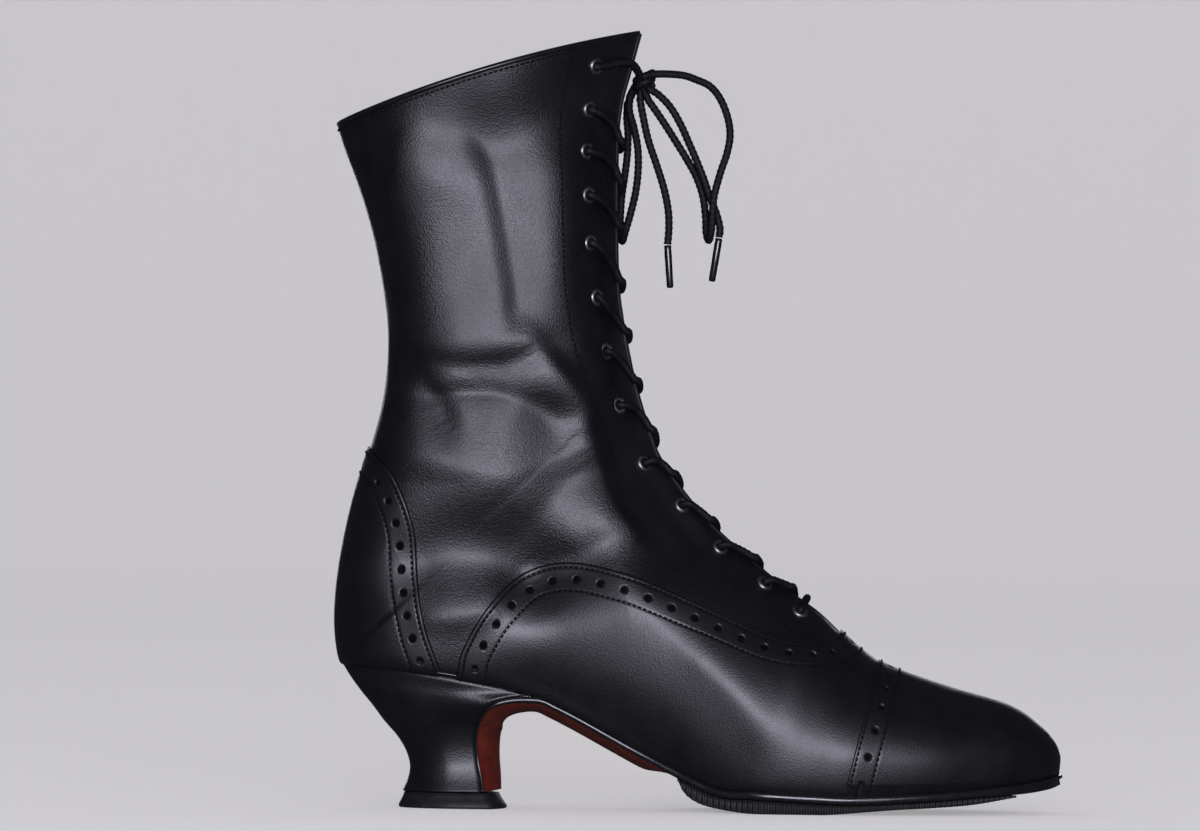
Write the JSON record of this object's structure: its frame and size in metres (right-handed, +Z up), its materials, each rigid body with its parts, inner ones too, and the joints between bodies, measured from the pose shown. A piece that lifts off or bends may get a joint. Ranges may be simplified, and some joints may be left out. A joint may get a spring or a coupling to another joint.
{
  "type": "lace-up boot",
  "caption": "Tall black leather lace-up boot with punched brogue trim, a tied bow, a rubber forepart and a low covered spool heel; stands empty on its sole.",
  "frame": {"origin": "on the floor, under the middle of the boot's box", "axes": "+X to the toe, -Y to the outer side of the foot, +Z up"},
  "size_m": [0.2647, 0.0786, 0.2793],
  "materials": {
    "upper_leather": "satin grained calf",
    "trim_leather": "polished calf",
    "tongue_leather": "soft satin",
    "heel_leather": "polished",
    "sole_leather": "burnished red-brown",
    "lining": "matt",
    "rubber": "matt",
    "eyelet_metal": "gunmetal",
    "lace": "waxed braid",
    "aglet": "gloss"
  },
  "bodies": {
    "root": {"aglet_a": "aglet", "aglet_b": "aglet", "counter": "trim_leather", "eyelet_inner_01": "eyelet_metal", "eyelet_inner_02": "eyelet_metal", "eyelet_inner_03": "eyelet_metal", "eyelet_inner_04": "eyelet_metal", "eyelet_inner_05": "eyelet_metal", "eyelet_inner_06": "eyelet_metal", "eyelet_inner_07": "eyelet_metal", "eyelet_inner_08": "eyelet_metal", "eyelet_inner_09": "eyelet_metal", "eyelet_inner_10": "eyelet_metal", "eyelet_inner_11": "eyelet_metal", "eyelet_inner_12": "eyelet_metal", "eyelet_inner_13": "eyelet_metal", "eyelet_outer_01": "eyelet_metal", "eyelet_outer_02": "eyelet_metal", "eyelet_outer_03": "eyelet_metal", "eyelet_outer_04": "eyelet_metal", "eyelet_outer_05": "eyelet_metal", "eyelet_outer_06": "eyelet_metal", "eyelet_outer_07": "eyelet_metal", "eyelet_outer_08": "eyelet_metal", "eyelet_outer_09": "eyelet_metal", "eyelet_outer_10": "eyelet_metal", "eyelet_outer_11": "eyelet_metal", "eyelet_outer_12": "eyelet_metal", "eyelet_outer_13": "eyelet_metal", "half_sole": "rubber", "heel": "heel_leather", "insole": "lining", "lace_bar": "lace", "lace_crossing_02": "lace", "lace_crossing_03": "lace", "lace_crossing_04": "lace", "lace_crossing_05": "lace", "lace_crossing_06": "lace", "lace_crossing_07": "lace", "lace_crossing_08": "lace", "lace_crossing_09": "lace", "lace_crossing_10": "lace", "lace_crossing_11": "lace", "lace_crossing_12": "lace", "lace_end_a": "lace", "lace_end_b": "lace", "lace_knot": "lace", "lace_loop_a": "lace", "lace_loop_b": "lace", "outsole": "sole_leather", "toe_cap": "trim_leather", "tongue": "tongue_leather", "top_lift": "rubber", "upper": "upper_leather", "vamp": "trim_leather"}
  },
  "joints": []
}
